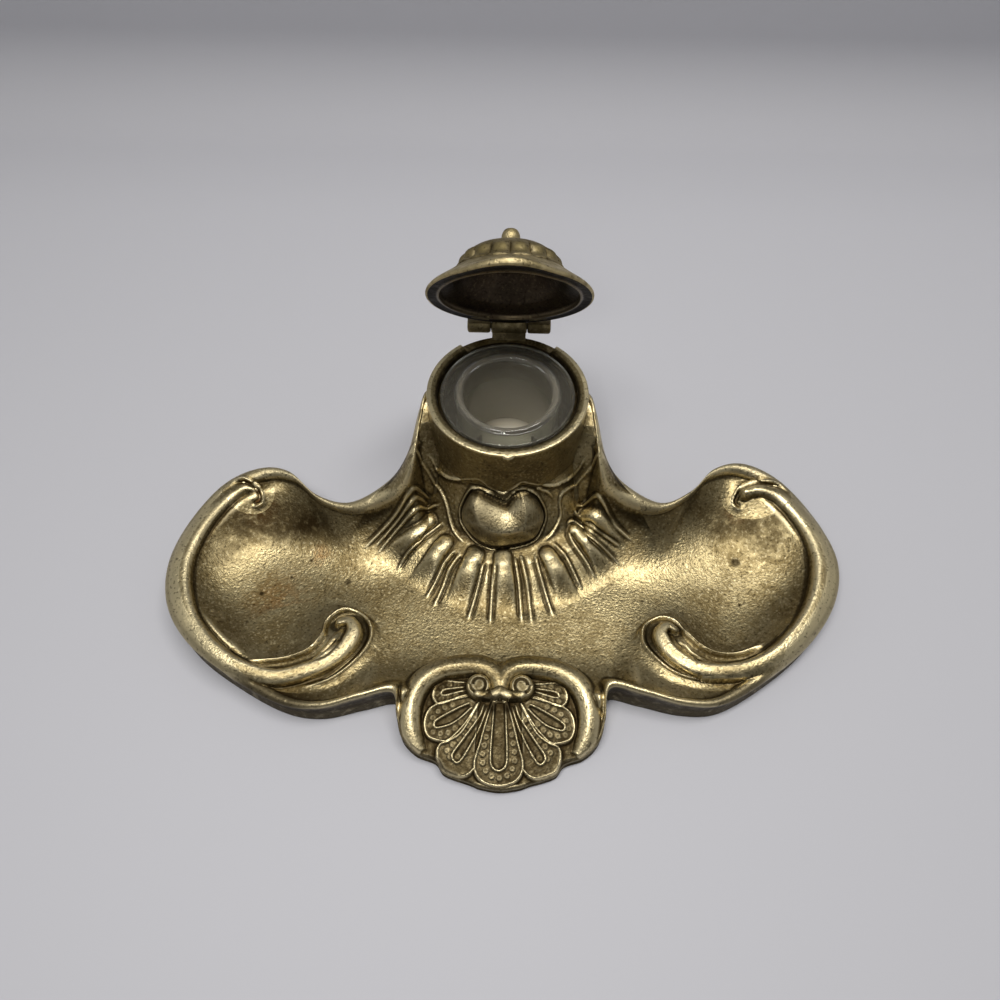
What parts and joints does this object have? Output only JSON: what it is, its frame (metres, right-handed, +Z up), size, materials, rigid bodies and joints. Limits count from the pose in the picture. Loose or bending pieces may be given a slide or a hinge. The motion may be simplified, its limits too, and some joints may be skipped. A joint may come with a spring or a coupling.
{
  "type": "desk inkstand",
  "caption": "Cast brass desk inkstand: a pen tray with scrolled dishes and a shell at the front, and a round well with a glass liner under a hinged domed lid.",
  "frame": {"origin": "on the table at the middle of the stand's outer box, with the lid as stored", "axes": "+X across the two dishes to the right, +Y to the well at the back, +Z up"},
  "size_m": [0.24, 0.1588, 0.1068],
  "materials": {
    "gilt_brass": "aged gilding over fine cast texture, dark in the recesses",
    "dull_brass": "dull aged brass, near black inside",
    "pressed_glass": "clear, slightly grey",
    "dark_pin": "dark patina"
  },
  "bodies": {
    "stand": {"tray_casting": "gilt_brass", "glass_liner": "pressed_glass", "hinge_pin": "dark_pin"},
    "lid": {"lid_casting": "dull_brass"}
  },
  "joints": [
    {"name": "lid_hinge", "type": "hinge", "parent": "stand", "child": "lid", "pos_m": [0, 0.07469, 0.0525], "axis": [-1, 0, 0], "range_deg": [-60, 40]}
  ]
}
